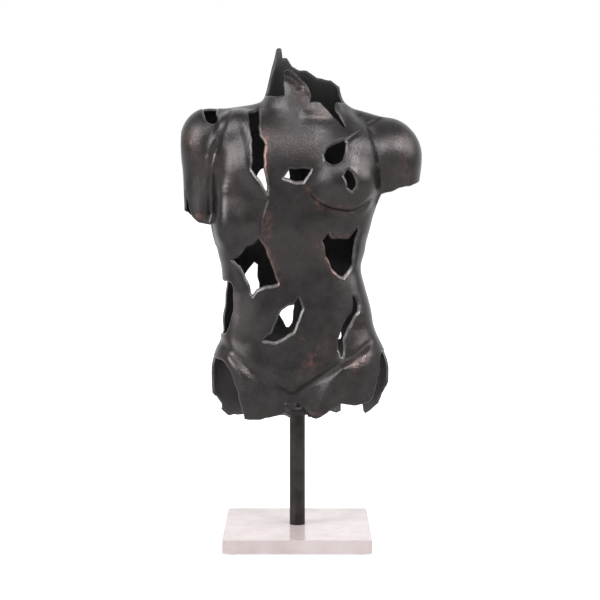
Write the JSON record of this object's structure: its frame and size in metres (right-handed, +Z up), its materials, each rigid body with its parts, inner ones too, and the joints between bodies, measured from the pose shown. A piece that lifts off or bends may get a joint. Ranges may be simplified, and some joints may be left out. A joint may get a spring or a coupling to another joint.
{
  "type": "hollow torso sculpture on a rod and base plate",
  "caption": "Hollow, broken-edged metal torso standing on a round rod set in a square marble base plate.",
  "frame": {"origin": "on the surface it stands on, under the middle of the whole work's box", "axes": "+Z up along the rod, the figure's front towards -Y, +X to the viewer's right"},
  "size_m": [0.246, 0.15, 0.5083],
  "materials": {
    "bronzed_aluminium": "dark bronze patina, satin, rubbed bright and coppery on edges and high places",
    "dark_rod": "dark satin bronze lacquer",
    "pale_marble": "polished pale pink-white marble",
    "clear_rubber": "clear satin rubber"
  },
  "bodies": {
    "root": {"torso_shell": "bronzed_aluminium", "support_rod": "dark_rod", "marble_base": "pale_marble", "foot_pad_front_left": "clear_rubber", "foot_pad_front_right": "clear_rubber", "foot_pad_back_left": "clear_rubber", "foot_pad_back_right": "clear_rubber"}
  },
  "joints": []
}
